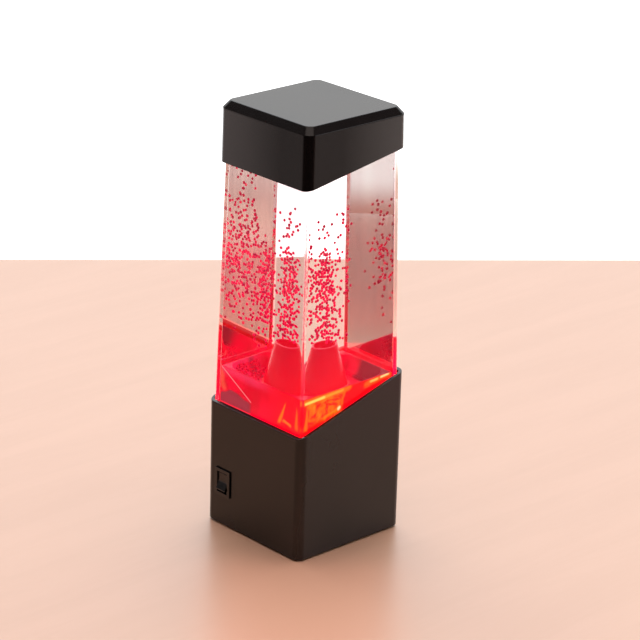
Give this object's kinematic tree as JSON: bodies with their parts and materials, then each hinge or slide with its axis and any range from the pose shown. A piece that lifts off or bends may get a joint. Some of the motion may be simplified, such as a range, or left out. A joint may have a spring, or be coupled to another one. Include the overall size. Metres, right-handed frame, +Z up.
{
  "type": "bead lamp",
  "caption": "Square-column water lamp: clear tapered tank with rising red beads between a black base and cap with slanted edges, magnet-driven impeller, rocker switch, battery bay.",
  "frame": {"origin": "middle of the base's square footprint, on the surface that the lamp stands on", "axes": "+Z up; -Y is the front; the rocker switch is on the -X face near the back; the supply inlet is on the +Y face; the slanted edges rise towards +X"},
  "size_m": [0.072, 0.07, 0.2231],
  "materials": {
    "black_plastic": "satin",
    "switch_plastic": "satin",
    "rubber": "matte",
    "steel": "satin",
    "nickel": "polished",
    "cell_jacket": "satin",
    "white_plastic": "satin",
    "board_green": "satin",
    "led_lens": "gloss",
    "lead_red": "satin",
    "lead_black": "satin",
    "clear_acrylic": "polished",
    "red_clear_plastic": "gloss",
    "bead_red": "satin",
    "water": "polished"
  },
  "bodies": {
    "root": {"base_housing": "black_plastic", "bottom_cover": "black_plastic", "foot_1": "rubber", "foot_2": "rubber", "foot_3": "rubber", "foot_4": "rubber", "cover_screw_1": "steel", "cover_screw_2": "steel", "cover_screw_3": "steel", "cover_screw_4": "steel", "battery_cell_1": "cell_jacket", "battery_cell_2": "cell_jacket", "battery_cell_3": "cell_jacket", "contact_positive": "nickel", "contact_negative": "nickel", "contact_bridge_1": "nickel", "contact_bridge_2": "nickel", "switch_body": "switch_plastic", "switch_terminal_1": "nickel", "switch_terminal_2": "nickel", "dc_inlet": "switch_plastic", "inlet_pin": "nickel", "motor": "steel", "motor_bracket": "white_plastic", "bracket_screw_1": "steel", "bracket_screw_2": "steel", "motor_screw_1": "steel", "motor_screw_2": "steel", "led_board": "board_green", "led_1": "led_lens", "led_2": "led_lens", "led_3": "led_lens", "led_4": "led_lens", "battery_lead_positive": "lead_red", "battery_lead_negative": "lead_black", "switch_lead": "lead_red", "inlet_lead_1": "lead_red", "inlet_lead_2": "lead_black", "motor_lead_1": "lead_red", "motor_lead_2": "lead_black", "tank_shell": "clear_acrylic", "tank_floor": "clear_acrylic", "impeller_pin": "steel", "tank_gasket": "rubber", "bead_deck": "red_clear_plastic", "nozzle_cone": "red_clear_plastic", "bead_bed": "bead_red", "water": "water"},
    "door": {"battery_door": "black_plastic"},
    "rocker": {"switch_rocker": "switch_plastic"},
    "rotor": {"motor_shaft": "steel", "drive_disc": "white_plastic", "drive_magnet_1": "nickel", "drive_magnet_2": "nickel"},
    "impeller": {"impeller": "white_plastic", "impeller_magnet_1": "nickel", "impeller_magnet_2": "nickel"},
    "plug": {"fill_plug": "rubber"},
    "cap": {"cap": "black_plastic"}
  },
  "joints": [
    {"name": "door_swing", "type": "hinge", "parent": "root", "child": "door", "pos_m": [0, -0.0273, 0.0016], "axis": [-1, 0, 0], "range_deg": [0, 75]},
    {"name": "switch_rock", "type": "hinge", "parent": "root", "child": "rocker", "pos_m": [-0.033, 0.0222, 0.024], "axis": [0, 1, 0], "range_deg": [-24, 0]},
    {"name": "motor_spin", "type": "hinge", "parent": "root", "child": "rotor", "pos_m": [0, 0, 0.045], "axis": [0, 0, 1], "continuous": true},
    {"name": "impeller_spin", "type": "hinge", "parent": "root", "child": "impeller", "pos_m": [0, 0, 0.068], "axis": [0, 0, 1], "continuous": true},
    {"name": "plug_pull", "type": "slide", "parent": "root", "child": "plug", "axis": [0, 0, 1], "range_m": [0, 0.0048]},
    {"name": "cap_lift", "type": "slide", "parent": "root", "child": "cap", "axis": [0, 0, 1], "range_m": [0, 0.035]}
  ],
  "couplings": [
    {"joint": "impeller_spin", "follows": "motor_spin", "ratio": 1}
  ]
}
